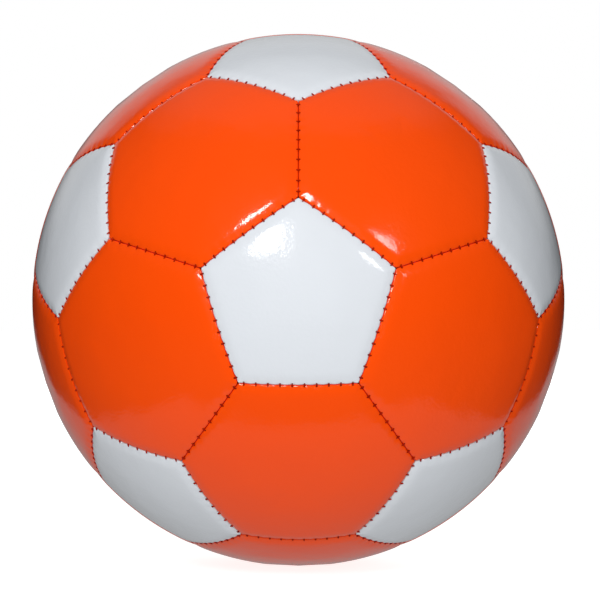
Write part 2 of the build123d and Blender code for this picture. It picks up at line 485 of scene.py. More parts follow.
    def _dome(self, radius: float, group: str = "") -> None:
        """Casts the mesh, or one group of its vertices, onto a sphere.

        Args:
            radius: The sphere's radius.
            group: Name of the vertex group, or nothing for all of them.
        """
        apply_modifier(
            self.piece, "CAST", cast_type="SPHERE", factor=1, radius=0, size=radius,
            use_radius_as_size=False, vertex_group=group,
        )

    def _side_at(self, point: Vector) -> int:
        """Number of the side nearest to a point."""
        turn = atan2(-point.x, point.y) % (2 * pi)
        return int(turn / (2 * pi / self.shape.value)) % self.shape.value

    def _seam_coordinates(self, point: Vector, side: int) -> tuple[float, float]:
        """Where a point is relative to a side's seam.

        Args:
            point: The point.
            side: Number of the side.

        Returns:
            Place along the seam in stitches, and distance from the seam in metres.
        """
        turn = 2 * pi * (side + 0.5) / self.shape.value
        tilt = self.layout.side_angle(self.shape)
        outward = Vector((-sin(turn) * cos(tilt), cos(turn) * cos(tilt), -sin(tilt)))
        along = Vector((-cos(turn), -sin(turn), 0))
        middle = outward.cross(along)
        direction = point.normalized()
        angle = atan2(direction.dot(along), direction.dot(middle))
        distance = -asin(direction.dot(outward)) * self.layout.radius
        return angle / self.layout.stitch_angle + self.layout.stitches / 2, distance

    def _draw_down_seams(self) -> None:
        """Presses the skin down along its seams, most at each stitch."""
        deepest = self.profile.depth(0, 1)

        def press(vertex: bpy.types.MeshVertex) -> float:
            along, distance = self._seam_coordinates(vertex.co, self._side_at(vertex.co))
            inside = 0 < along < self.layout.stitches
            pull = -cos(2 * pi * along) if inside else -1
            return self.profile.depth(max(distance, 0), pull) / deepest

        weigh(self.piece, "drawn_down", press)
        apply_modifier(
            self.piece, "DISPLACE", direction="NORMAL", mid_level=0, strength=-deepest,
            vertex_group="drawn_down",
        )

    def _pick_border(self) -> None:
        """Selects the open border along the seams, and not the valve's hole."""
        activate(self.piece)
        bpy.ops.object.mode_set(mode="EDIT")
        bpy.ops.mesh.select_mode(type="VERT")
        bpy.ops.mesh.select_all(action="DESELECT")
        bpy.ops.mesh.select_non_manifold()
        bpy.ops.object.mode_set(mode="OBJECT")
        border = {vertex.index for vertex in self.piece.data.vertices if vertex.select}
        hole_reach = self.hole_search * self.hole_radius
        pick_vertices(
            self.piece,
            lambda vertex: vertex.index in border and vertex.co.xy.length > hole_reach,
        )

    def _turn_edges_in(self) -> None:
        """Extrudes the border towards the ball's centre, in two steps."""
        self._pick_border()
        border = self.layout.radius - self.profile.depth(0, 0)
        factor = sqrt((self.layout.radius - self.edge_depth) / border)
        for _ in range(2):
            bpy.ops.mesh.extrude_region_move()
            bpy.ops.transform.resize(value=(factor, factor, factor), center_override=CENTRE)

    def _add_back(self) -> None:
        """Adds the skin's inner face, a thickness below its outer one, and closes it."""
        tilt = self.layout.side_angle(self.shape)
        reach = self.layout.radius * sin(tilt)
        narrow = 1 - self.thickness / reach
        bpy.ops.mesh.extrude_region_move()
        bpy.ops.transform.resize(value=(narrow, narrow, 1), center_override=CENTRE)
        first_back = self._count_vertices()
        factor = 1 + (self.edge_depth - 2 * self.thickness) / self.layout.radius
        bpy.ops.mesh.extrude_region_move()
        bpy.ops.transform.resize(value=(factor, factor, factor), center_override=CENTRE)
        width = reach - self.thickness
        for distance in self.back_distances:
            narrow = (reach - distance) / width
            width = reach - distance
            bpy.ops.mesh.extrude_region_move()
            bpy.ops.transform.resize(value=(narrow, narrow, 1), center_override=CENTRE)
        back_end = self._count_vertices()
        bpy.ops.mesh.extrude_region_move()
        if self.hole_radius:
            self._round_off(self.hole_radius)
            self._join_hole()
        else:
            bpy.ops.mesh.merge(type="CENTER")
        bpy.ops.object.mode_set(mode="OBJECT")
        ring = (back_end - first_back) // (len(self.back_distances) + 1)
        weigh(self.piece, "back", lambda vertex: float(vertex.index >= first_back + ring))
        self._dome(self.layout.radius - self.thickness, "back")

    def _count_vertices(self) -> int:
        """Number of vertices of the piece while it is in edit mode."""
        self.piece.update_from_editmode()
        return len(self.piece.data.vertices)

    def _join_hole(self) -> None:
        """Turns the hole's rim down through the skin and joins it to the inner face."""
        bpy.ops.mesh.select_all(action="DESELECT")
        bpy.ops.mesh.select_non_manifold()
        bpy.ops.mesh.bridge_edge_loops()

    def _finish_mesh(self) -> None:
        """Merges doubles, turns all faces outwards, shades smooth and maps the stitches."""
        activate(self.piece)
        bpy.ops.object.mode_set(mode="EDIT")
        bpy.ops.mesh.select_all(action="SELECT")
        bpy.ops.mesh.remove_doubles(threshold=DOUBLES_DISTANCE)
        bpy.ops.mesh.normals_make_consistent(inside=False)
        bpy.ops.object.mode_set(mode="OBJECT")
        bpy.ops.object.shade_smooth_by_angle(angle=SMOOTH_SKIN_ANGLE)
        mesh = self.piece.data
        layer = mesh.uv_layers.get("UVMap") or mesh.uv_layers.new(name=STITCH_MAP)
        layer.name = STITCH_MAP
        for polygon in mesh.polygons:
            side = self._side_at(polygon.center)
            for loop in polygon.loop_indices:
                vertex = mesh.vertices[mesh.loops[loop].vertex_index]
                along, distance = self._seam_coordinates(vertex.co, side)
                layer.data[loop].uv = (along, distance * 1000)


# ---------------------------------------------------------------------------------------------- thread


@dataclass
class SeamThread:
    """Row of stitches that shows along one seam, modelled about +Z with the seam along Y.

    Attributes:
        layout: Layout of the ball.
        thread_radius: Radius of the thread.
        slant: How far along the seam a stitch moves for each metre across it.
        knotted: Whether the last stitch ends in a knot.
        knot_radius: Radius of the knot's turns.
        knot_turns: Angles at which the knot's two turns cross.
        sides: Sides of the thread's section.
        path: Points of one stitch from its middle outwards: across the seam, and depth, in metres.
    """

    layout: BallLayout
    thread_radius: float = 0.00029
    slant: float = 0.15
    knotted: bool = False
    knot_radius: float = 0.00045
    knot_turns: tuple[float, float] = (radians(55), radians(-50))
    sides: int = 6
    path: tuple[tuple[float, float], ...] = (
        (0.0, 0.00078), (0.00018, 0.00074), (0.00034, 0.00068), (0.00047, 0.0008), (0.00052, 0.0013),
    )

    def build(self, name: str) -> bpy.types.Object:
        """Models the stitches of one seam.

        Args:
            name: The piece's name.

        Returns:
            The row of stitches.
        """
        piece = self._stitch()
        piece.name = name
        activate(piece)
        bpy.ops.object.mode_set(mode="EDIT")
        bpy.ops.mesh.select_all(action="SELECT")
        first = self.layout.stitch_angle * (self.layout.stitches - 1) / 2
        self._turn(first)
        if self.knotted:
            self._knot(first)
        for _ in range(self.layout.stitches - 1):
            bpy.ops.mesh.duplicate_move()
            self._turn(-self.layout.stitch_angle)
        bpy.ops.object.mode_set(mode="OBJECT")
        bpy.ops.object.shade_smooth_by_angle(angle=SMOOTH_THREAD_ANGLE)
        return piece

    def _stitch(self) -> bpy.types.Object:
        """Models one stitch over the middle of the seam."""
        start_modelling()
        radius = self.layout.radius
        ends = [Vector((across, across * self.slant, radius - depth)) for across, depth in self.path]
        points = [Vector((-point.x, -point.y, point.z)) for point in ends[:0:-1]] + ends
        bpy.ops.mesh.primitive_circle_add(
            vertices=self.sides, radius=self.thread_radius, fill_type="NGON",
            location=points[0], rotation=(0, pi / 2, atan(self.slant)),
        )
        piece = bpy.context.object
        bpy.ops.object.transform_apply(location=True, rotation=True, scale=True)
        bpy.ops.object.mode_set(mode="EDIT")
        bpy.ops.mesh.select_all(action="SELECT")
        for before, after in zip(points, points[1:]):
            bpy.ops.mesh.extrude_region_move()
            bpy.ops.transform.translate(value=after - before)
        bpy.ops.mesh.select_all(action="SELECT")
        bpy.ops.mesh.normals_make_consistent(inside=False)
        bpy.ops.object.mode_set(mode="OBJECT")
        return piece

    def _turn(self, angle: float) -> None:
        """Turns what is selected about X, along the seam."""
        bpy.ops.transform.rotate(value=angle, orient_axis="X", orient_type="GLOBAL", center_override=CENTRE)

    def _knot(self, angle: float) -> None:
        """Adds two crossed turns of thread at the first stitch's end, and selects the stitch again.

        Args:
            angle: Angle that the stitch was turned by.
        """
        across, depth = self.path[-2]
        bpy.ops.mesh.hide(unselected=False)
        height = self.layout.radius - depth + self.thread_radius
        for turn in self.knot_turns:
            bpy.ops.mesh.primitive_torus_add(
                major_segments=2 * self.sides, minor_segments=self.sides,
                major_radius=self.knot_radius, minor_radius=self.thread_radius,
                location=(across, 0, height), rotation=(turn, 0, turn / 2),
            )
            self._turn(angle)
        bpy.ops.mesh.select_all(action="SELECT")
        bpy.ops.mesh.hide(unselected=False)
        bpy.ops.mesh.reveal(select=True)
        bpy.ops.mesh.select_all(action="DESELECT")
        bpy.ops.object.mode_set(mode="OBJECT")
        stitch_vertices = (2 * len(self.path) - 1) * self.sides
        pick_vertices(bpy.context.object, lambda vertex: vertex.index < stitch_vertices)


def sew(piece_name: str, thread: bpy.types.Object, places: list[Matrix]) -> bpy.types.Object:
    """Copies a row of stitches to several seams and joins the copies to one piece.

    Args:
        piece_name: The joined piece's name.
        thread: The row of stitches.
        places: Places of the seams.

    Returns:
        The joined piece.
    """
    rows = [placed_copy(thread, f"{piece_name}_row", place) for place in places]
    start_modelling()
    for row in rows:
        row.select_set(True)
    bpy.context.view_layer.objects.active = rows[0]
    bpy.ops.object.join()
    rows[0].name = piece_name
    rows[0].data.name = piece_name
    return rows[0]


# ---------------------------------------------------------------------------------------------- finishes


class NodeGraph:
    """Adds nodes to a tree and joins them."""

    def __init__(self, tree: bpy.types.NodeTree) -> None:
        """Keeps the tree."""
        self.tree = tree

    def add(
        self, kind: str, inputs: dict[str | int, object] | None = None, **settings: object
    ) -> bpy.types.Node:
        """Adds a node.

        Args:
            kind: The node's type.
            inputs: Values for its inputs, by name or number; a socket is joined to the input.
            **settings: The node's properties.

        Returns:
            The node.
        """
        node = self.tree.nodes.new(kind)
        for name, value in settings.items():
            setattr(node, name, value)
        for key, value in (inputs or {}).items():
            if isinstance(value, bpy.types.NodeSocket):
                self.tree.links.new(value, node.inputs[key])
            else:
                node.inputs[key].default_value = value
        return node

    def math(
        self, operation: str, first: object, second: object = 0.0, clamp: bool = False
    ) -> bpy.types.NodeSocket:
        """Adds a Math node and returns its output."""
        node = self.add("ShaderNodeMath", {0: first, 1: second}, operation=operation, use_clamp=clamp)
        return node.outputs[0]

    def mix_value(self, share: object, first: object, second: object) -> bpy.types.NodeSocket:
        """Adds a mix of two values and returns its output."""
        return self.add("ShaderNodeMix", {0: share, 2: first, 3: second}).outputs[0]

    def band(self, value: object, low: float, high: float) -> bpy.types.NodeSocket:
        """Adds a smooth step that is 0 below low and 1 above high, and returns its output."""
        inputs = {"Value": value, "From Min": low, "From Max": high}
        node = self.add("ShaderNodeMapRange", inputs, interpolation_type="SMOOTHSTEP")
        return node.outputs["Result"]

    def mix(self, share: object, first: object, second: object) -> bpy.types.NodeSocket:
        """Adds a colour mix and returns its output."""
        inputs = {"Factor": share, 6: first, 7: second}
        return self.add("ShaderNodeMix", inputs, data_type="RGBA").outputs[2]

    def bump(
        self, height: object, distance: float, normal: bpy.types.NodeSocket | None = None
    ) -> bpy.types.NodeSocket:
        """Adds a bump, on top of another if one is given, and returns its normal.

        Args:
            height: The height, from 0 to 1.
            distance: How high 1 is, in metres.
            normal: Normal of the bump under this one.

        Returns:
            The new normal.
        """
        inputs = {"Height": height, "Distance": distance}
        if normal:
            inputs["Normal"] = normal
        return self.add("ShaderNodeBump", inputs).outputs[0]


def shader_group(
    name: str, inputs: dict[str, float], outputs: list[str]
) -> tuple[bpy.types.NodeTree, NodeGraph]:
    """Makes an empty shader node group with float sockets.

    Args:
        name: The group's name.
        inputs: Names of the inputs, with their defaults.
        outputs: Names of the outputs.

    Returns:
        The group and a graph to fill it with.
    """
    tree = bpy.data.node_groups.new(name, "ShaderNodeTree")
    for label, value in inputs.items():
        socket = tree.interface.new_socket(name=label, in_out="INPUT", socket_type="NodeSocketFloat")
        socket.default_value = value
    for label in outputs:
        tree.interface.new_socket(name=label, in_out="OUTPUT", socket_type="NodeSocketFloat")
    return tree, NodeGraph(tree)


def grain_group() -> bpy.types.NodeTree:
    """Group that gives a fine grain and a slow unevenness, as heights, and a soft mottle from 0 to 1.

    Returns:
        The group.
    """
    sizes = {"Grain Size": 0.0014, "Wave Size": 0.012}
    tree, graph = shader_group("surface_grain", sizes, ["Grain", "Wave", "Mottle"])
    given = graph.add("NodeGroupInput").outputs
    place = graph.add("ShaderNodeTexCoord").outputs["Object"]
    grain_scale = graph.math("DIVIDE", 1.0, given["Grain Size"])
    wave_scale = graph.math("DIVIDE", 1.0, given["Wave Size"])
    grain = graph.add("ShaderNodeTexNoise", {"Vector": place, "Scale": grain_scale, "Detail": 2.0})
    wave = graph.add("ShaderNodeTexNoise", {"Vector": place, "Scale": wave_scale, "Detail": 1.0})
    blotches = {"Vector": place, "Scale": 45.0, "Detail": 4.0, "Roughness": 0.6}
    mottle = graph.add("ShaderNodeTexNoise", blotches)
    result = graph.add("NodeGroupOutput").inputs
    tree.links.new(grain.outputs[0], result["Grain"])
    tree.links.new(wave.outputs[0], result["Wave"])
    tree.links.new(mottle.outputs[0], result["Mottle"])
    return tree


def stitch_marks_group() -> bpy.types.NodeTree:
    """Group that masks the needle holes that the sewing leaves on a skin, and the groove along the seam,
    where shade is painted.

    Its sizes are in millimetres, as the second coordinate of the stitch map is.

    Returns:
        The group.
    """
    defaults = {"Hole Distance": 0.5, "Hole Radius": 0.32, "Stitch Pitch": 4.47}
    tree, graph = shader_group("stitch_marks", defaults, ["Hole", "Groove Shade"])
    given = graph.add("NodeGroupInput").outputs
    stitch_map = graph.add("ShaderNodeUVMap", uv_map=STITCH_MAP).outputs[0]
    seam = graph.add("ShaderNodeSeparateXYZ", {0: stitch_map}).outputs
    from_stitch = graph.math("SUBTRACT", graph.math("FRACT", seam["X"]), 0.5)
    along = graph.math("MULTIPLY", from_stitch, given["Stitch Pitch"])
    across = graph.math("SUBTRACT", seam["Y"], given["Hole Distance"])
    offset = graph.add("ShaderNodeCombineXYZ", {0: along, 1: across}).outputs[0]
    reach = graph.add("ShaderNodeVectorMath", {0: offset}, operation="LENGTH").outputs["Value"]
    share = graph.math("DIVIDE", reach, given["Hole Radius"])
    hole = graph.math("SUBTRACT", 1.0, graph.band(share, 0.55, 1.15))
    # Painted shade: the skin darkens within 0.4 mm of the seam, in the groove.
    groove = graph.math("SUBTRACT", 1.0, graph.band(seam["Y"], 0.05, 0.4))
    result = graph.add("NodeGroupOutput").inputs
    tree.links.new(hole, result["Hole"])
    tree.links.new(groove, result["Groove Shade"])
    return tree


def weave_group() -> bpy.types.NodeTree:
    """Group that gives the height of a plain weave, and the share of threads that run crosswise on top.

    Returns:
        The group.
    """
    tree, graph = shader_group("plain_weave", {"Threads per Metre": 1400.0}, ["Height", "Crosswise"])
    given = graph.add("NodeGroupInput").outputs
    place = graph.add("ShaderNodeTexCoord").outputs["Object"]
    scaling = {0: place, "Scale": given["Threads per Metre"]}
    scaled = graph.add("ShaderNodeVectorMath", scaling, operation="SCALE")
    axes = graph.add("ShaderNodeSeparateXYZ", {0: scaled.outputs[0]}).outputs
    warp = graph.math("SINE", graph.math("MULTIPLY", graph.math("ADD", axes["X"], axes["Y"]), pi))
    weft = graph.math("SINE", graph.math("MULTIPLY", graph.math("SUBTRACT", axes["Z"], axes["Y"]), pi))
    crossing = graph.math("MULTIPLY", warp, weft)
    result = graph.add("NodeGroupOutput").inputs
    tree.links.new(graph.math("ABSOLUTE", crossing), result["Height"])
    tree.links.new(graph.band(crossing, -0.1, 0.1), result["Crosswise"])
    return tree


@dataclass(frozen=True)
class EffectGroups:
    """The node groups that the finishes share."""

    grain: bpy.types.NodeTree
    stitch_marks: bpy.types.NodeTree
    weave: bpy.types.NodeTree

    @classmethod
    def build(cls) -> EffectGroups:
        """Builds the three groups."""
        return cls(grain_group(), stitch_marks_group(), weave_group())


def new_material(name: str) -> tuple[bpy.types.Material, NodeGraph, bpy.types.Node]:
    """Makes a material that holds only a Principled shader and its output.

    Args:
        name: The material's name.

    Returns:
        The material, its graph and the shader.
    """
    material = bpy.data.materials.new(name)
    material.use_nodes = True
    material.node_tree.nodes.clear()
    graph = NodeGraph(material.node_tree)
    shader = graph.add("ShaderNodeBsdfPrincipled")
    graph.add("ShaderNodeOutputMaterial", {"Surface": shader.outputs[0]})
    return material, graph, shader


@dataclass(frozen=True)
class CoatedSkin:
    """Glossy coated PVC of a panel.

    Attributes:
        name: The material's name.
        colour: Colour of the skin.
        mottle_and_groove_shade_colour: Colour of the random blotches, and painted shade in the groove along
            the seam.
        hole_thread_and_shade_colour: Colour of the needle holes: the thread's dark red, with painted shade
            of the hole.
        roughness: Roughness under the clear coat.
        hole_roughness: Roughness in the needle holes.
        mottling: How far that second colour shows through in random blotches.
        grain_height: Height of the fine grain.
        wave_height: Height of the slow unevenness.
        hole_depth: Depth of the needle holes.
    """

    name: str
    colour: Colour
    mottle_and_groove_shade_colour: Colour
    hole_thread_and_shade_colour: Colour = (0.12, 0.003, 0.001, 1)
    roughness: float = 0.35
    hole_roughness: float = 0.75
    mottling: float = 0.10
    grain_height: float = 0.00006
    wave_height: float = 0.00025
    hole_depth: float = 0.0003

    def material(self, groups: EffectGroups) -> bpy.types.Material:
        """Builds the material.

        Args:
            groups: The shared node groups.

        Returns:
            The material.
        """
        material, graph, shader = new_material(self.name)
        grain = graph.add("ShaderNodeGroup", node_tree=groups.grain)
        marks = graph.add("ShaderNodeGroup", node_tree=groups.stitch_marks)
        shade = graph.math("MULTIPLY", grain.outputs["Mottle"], self.mottling)
        toned = graph.mix(shade, self.colour, self.mottle_and_groove_shade_colour)
        # Painted shade in the groove along the seam.
        groove_shaded = graph.mix(marks.outputs["Groove Shade"], toned, self.mottle_and_groove_shade_colour)
        # Needle holes: the thread's dark red with painted shade of the hole.
        coloured = graph.mix(marks.outputs["Hole"], groove_shaded, self.hole_thread_and_shade_colour)
        rough = graph.mix_value(marks.outputs["Hole"], self.roughness, self.hole_roughness)
        fine = graph.bump(grain.outputs["Grain"], self.grain_height)
        slow = graph.bump(grain.outputs["Wave"], self.wave_height, fine)
        pit = graph.math("SUBTRACT", 1.0, marks.outputs["Hole"])
        pitted = graph.bump(pit, self.hole_depth, slow)
        shader.inputs["Coat Weight"].default_value = 1.0
        shader.inputs["Coat Roughness"].default_value = 0.11
        shader.inputs["Coat IOR"].default_value = 1.5
        shader.inputs["Specular IOR Level"].default_value = 0.04
        graph.tree.links.new(coloured, shader.inputs["Base Color"])
        graph.tree.links.new(rough, shader.inputs["Roughness"])
        graph.tree.links.new(pitted, shader.inputs["Normal"])
        graph.tree.links.new(pitted, shader.inputs["Coat Normal"])
        return material


@dataclass(frozen=True)
class WaxedThread:
    """Dark waxed sewing thread with a fine twist."""

    name: str = "waxed_thread"
    colour: Colour = (0.30, 0.007, 0.001, 1)
    worn_colour: Colour = (0.48, 0.014, 0.002, 1)
    roughness: float = 0.7
    twist_height: float = 0.00006

    def material(self, groups: EffectGroups) -> bpy.types.Material:
        """Builds the material from the shared groups."""
        material, graph, shader = new_material(self.name)
        sizes = {"Grain Size": 0.00025, "Wave Size": 0.004}
        grain = graph.add("ShaderNodeGroup", sizes, node_tree=groups.grain)
        worn = graph.band(grain.outputs["Mottle"], 0.35, 0.7)
        coloured = graph.mix(worn, self.colour, self.worn_colour)
        bump = graph.bump(grain.outputs["Grain"], self.twist_height)
        graph.tree.links.new(coloured, shader.inputs["Base Color"])
        graph.tree.links.new(bump, shader.inputs["Normal"])
        shader.inputs["Roughness"].default_value = self.roughness
        shader.inputs["Specular IOR Level"].default_value = 0.05
        return material


@dataclass(frozen=True)
class WovenCloth:
    """Woven cloth, as on the linings, or rubberised as on the patch."""

    name: str
    warp_colour: Colour
    weft_colour: Colour
    roughness: float = 0.85
    weave_height: float = 0.0002

    def material(self, groups: EffectGroups) -> bpy.types.Material:
        """Builds the material from the shared groups."""
        material, graph, shader = new_material(self.name)
        weave = graph.add("ShaderNodeGroup", node_tree=groups.weave)
        coloured = graph.mix(weave.outputs["Crosswise"], self.warp_colour, self.weft_colour)
        bump = graph.bump(weave.outputs["Height"], self.weave_height)
        graph.tree.links.new(coloured, shader.inputs["Base Color"])
        graph.tree.links.new(bump, shader.inputs["Normal"])
        shader.inputs["Roughness"].default_value = self.roughness
        return material


@dataclass(frozen=True)
class CellFoam:
    """Closed-cell foam of the pads."""

    name: str = "pad_foam"
    colour: Colour = (0.72, 0.70, 0.62, 1)
    pore_colour: Colour = (0.45, 0.43, 0.36, 1)
    roughness: float = 0.9
    cell_size: float = 0.0006
    cell_height: float = 0.0002

    def material(self, groups: EffectGroups) -> bpy.types.Material:
        """Builds the material from the shared groups."""
        material, graph, shader = new_material(self.name)
        grain = graph.add("ShaderNodeGroup", node_tree=groups.grain)
        place = graph.add("ShaderNodeTexCoord").outputs["Object"]
        cells = graph.add("ShaderNodeTexVoronoi", {"Vector": place, "Scale": 1 / self.cell_size})
        pores = graph.band(cells.outputs["Distance"], 0.3, 0.6)
        shaded = graph.math("MULTIPLY", pores, graph.math("ADD", grain.outputs["Mottle"], 0.3), clamp=True)
        coloured = graph.mix(shaded, self.colour, self.pore_colour)
        bump = graph.bump(cells.outputs["Distance"], self.cell_height)
        graph.tree.links.new(coloured, shader.inputs["Base Color"])
        graph.tree.links.new(bump, shader.inputs["Normal"])
        shader.inputs["Roughness"].default_value = self.roughness
        return material


@dataclass(frozen=True)
class MouldedRubber:
    """Matt moulded rubber with a trace of moulding powder."""

    name: str
    colour: Colour
    powder_colour: Colour = (0.16, 0.155, 0.15, 1)
    powder: float = 0.35
    roughness: float = 0.55
    grain_height: float = 0.00003

    def material(self, groups: EffectGroups) -> bpy.types.Material:
        """Builds the material from the shared groups."""
        material, graph, shader = new_material(self.name)
        sizes = {"Grain Size": 0.0003, "Wave Size": 0.005}
        grain = graph.add("ShaderNodeGroup", sizes, node_tree=groups.grain)
        dusty = graph.math("MULTIPLY", graph.band(grain.outputs["Mottle"], 0.45, 0.75), self.powder)
        rough = graph.mix_value(grain.outputs["Wave"], self.roughness - 0.12, self.roughness + 0.13)
        coloured = graph.mix(dusty, self.colour, self.powder_colour)
        bump = graph.bump(grain.outputs["Grain"], self.grain_height)
        graph.tree.links.new(coloured, shader.inputs["Base Color"])
        graph.tree.links.new(rough, shader.inputs["Roughness"])
        graph.tree.links.new(bump, shader.inputs["Normal"])
        return material


# ------------------------------------------------------------------------------------ sub-assemblies


def nearest_node(direction: Vector, prefixes: tuple[str, ...]) -> str:
    """Finds the panel node that lies in a direction from the ball's centre.

    Args:
        direction: The direction.
        prefixes: What the names of the nodes to look among start with.

    Returns:
        The node's name.
    """
    def reach(name: str) -> float:
        low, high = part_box(name)
        return (Vector(low) + Vector(high)).normalized().dot(direction)

    return max((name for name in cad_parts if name.startswith(prefixes)), key=reach)


@dataclass
class Cover:
    """The thirty-two outer skins."""

    layout: BallLayout
    valve_hole_radius: float = 0.0048
    skins: list[bpy.types.Object] = field(default_factory=list)

    def build(self) -> None:
        """Models one pentagon, one hexagon and the valve's pentagon, and copies them to their places."""
        pentagon = PanelSkin(PanelShape.PENTAGON, self.layout).build()
        hexagon = PanelSkin(PanelShape.HEXAGON, self.layout).build()
        pierced = PanelSkin(PanelShape.PENTAGON, self.layout, hole_radius=self.valve_hole_radius)
        valve = pierced.build()
        places = self.layout.pentagons()
        self._lay(valve, places[-1], (VALVE_PANEL,))
        for place in places[:-1]:
            self._lay(pentagon, place, ("pentagon_panel",))
        for place in self.layout.hexagons():
            self._lay(hexagon, place, ("hexagon_panel",))
        for pattern in (pentagon, hexagon, valve):
            bpy.data.objects.remove(pattern)

    def _lay(self, skin: bpy.types.Object, place: Matrix, prefixes: tuple[str, ...]) -> None:
        """Copies a skin to its place, where it stands for the frame's node."""
        node = nearest_node(place.to_3x3() @ AXIS_Z, prefixes)
        piece = placed_copy(skin, f"{node}_skin", place)
        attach(piece, BALL_BODY)
        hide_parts(node)
        self.skins.append(piece)
        log.info("%s: %d faces", piece.name, len(piece.data.polygons))

    def dress(self, white: bpy.types.Material, orange: bpy.types.Material) -> None:
        """Gives the skins their finishes.

        Args:
            white: Material of the pentagons.
            orange: Material of the hexagons.
        """
        for skin in self.skins:
            dress(skin, orange if skin.name.startswith("hexagon") else white)


@dataclass
class Sewing:
    """The thread of all ninety seams."""

    layout: BallLayout
    rows: list[bpy.types.Object] = field(default_factory=list)

    def build(self) -> None:
        """Models one row of stitches and copies it to every seam."""
        row = SeamThread(self.layout).build("row")
        seams = self.layout.hexagon_seams()
        below_valve = min(self.layout.pentagon_middles(), key=lambda middle: middle.z - middle.y)
        closing_middle = Vector((0, 1, 0)) + below_valve
        seams.sort(key=lambda place: (place.to_3x3() @ AXIS_Z).dot(closing_middle))
        closing = seams.pop()
        hand_sewn = SeamThread(self.layout, slant=0.9, knotted=True).build("hand_sewn_row")
        self._sew("closing_seam_thread", hand_sewn, [closing])
        self._sew("hexagon_seam_threads", row, seams)
        self._sew("pentagon_seam_threads", row, self.layout.pentagon_seams())
        for pattern in (row, hand_sewn):
            bpy.data.objects.remove(pattern)

    def _sew(self, node: str, row: bpy.types.Object, places: list[Matrix]) -> None:
        """Sews some seams with a thread that stands for one node of the frame."""
        piece = sew(f"{node}_stitches", row, places)
        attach(piece, BALL_BODY)
        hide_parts(node)
        self.rows.append(piece)
        log.info("%s: %d faces", piece.name, len(piece.data.polygons))

    def dress(self, thread: bpy.types.Material) -> None:
        """Gives the stitches their finish."""
        for row in self.rows:
            dress(row, thread)


@dataclass
class Inside:
    """The frame's own nodes: pads, linings, bladder and valve."""

    groups: EffectGroups

    def dress(self) -> None:
        """Gives each node the finish of its kind."""
        lining_cloth = WovenCloth("lining_cloth", (0.62, 0.60, 0.53, 1), (0.50, 0.48, 0.42, 1))
        patch_cloth = WovenCloth("patch_cloth", (0.30, 0.29, 0.27, 1), (0.22, 0.21, 0.2, 1), 0.6)
        bladder_rubber = MouldedRubber("bladder_rubber", (0.014, 0.014, 0.014, 1))
        valve_rubber = MouldedRubber("valve_rubber", (0.03, 0.03, 0.032, 1), powder=0.15)
        plug_rubber = MouldedRubber(
            "plug_rubber", (0.012, 0.012, 0.012, 1), powder=0.1, roughness=0.4,
        )
        foam = CellFoam().material(self.groups)
        lining = lining_cloth.material(self.groups)
        patch = patch_cloth.material(self.groups)
        bladder = bladder_rubber.material(self.groups)
        housing = valve_rubber.material(self.groups)
        plug = plug_rubber.material(self.groups)
        finishes = {
            "pentagon_foam_pads": foam, "hexagon_foam_pads": foam, "valve_panel_foam_pad": foam,
            "pentagon_linings": lining, "hexagon_linings": lining, "valve_panel_lining": lining,
            "valve_patch": patch, "bladder": bladder, "valve_housing": housing, "valve_plug": plug,
        }
        for name, material in finishes.items():
            dress(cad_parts[name], material)
            log.info("%s: %s", name, material.name)


# ---------------------------------------------------------------------------------------------- studio


@dataclass(frozen=True)
class SquareLight:
    """Square light that points at the ball.

    Attributes:
        name: The light's name.
        place: Where it is.
        size: Its side.
        power: Its power in watts.
        reflected: Whether the glossy skins reflect it.
    """

    name: str
    place: Place
    size: float
    power: float
    reflected: bool = True

    def hang(self) -> None:
        """Adds the light to the scene."""
        start_modelling()
        aim = (-Vector(self.place)).to_track_quat("-Z", "Y").to_euler()
        bpy.ops.object.light_add(type="AREA", location=self.place, rotation=aim)
        light = bpy.context.object
        light.name = self.name
        light.data.size = self.size
        light.data.energy = self.power
        light.visible_glossy = self.reflected


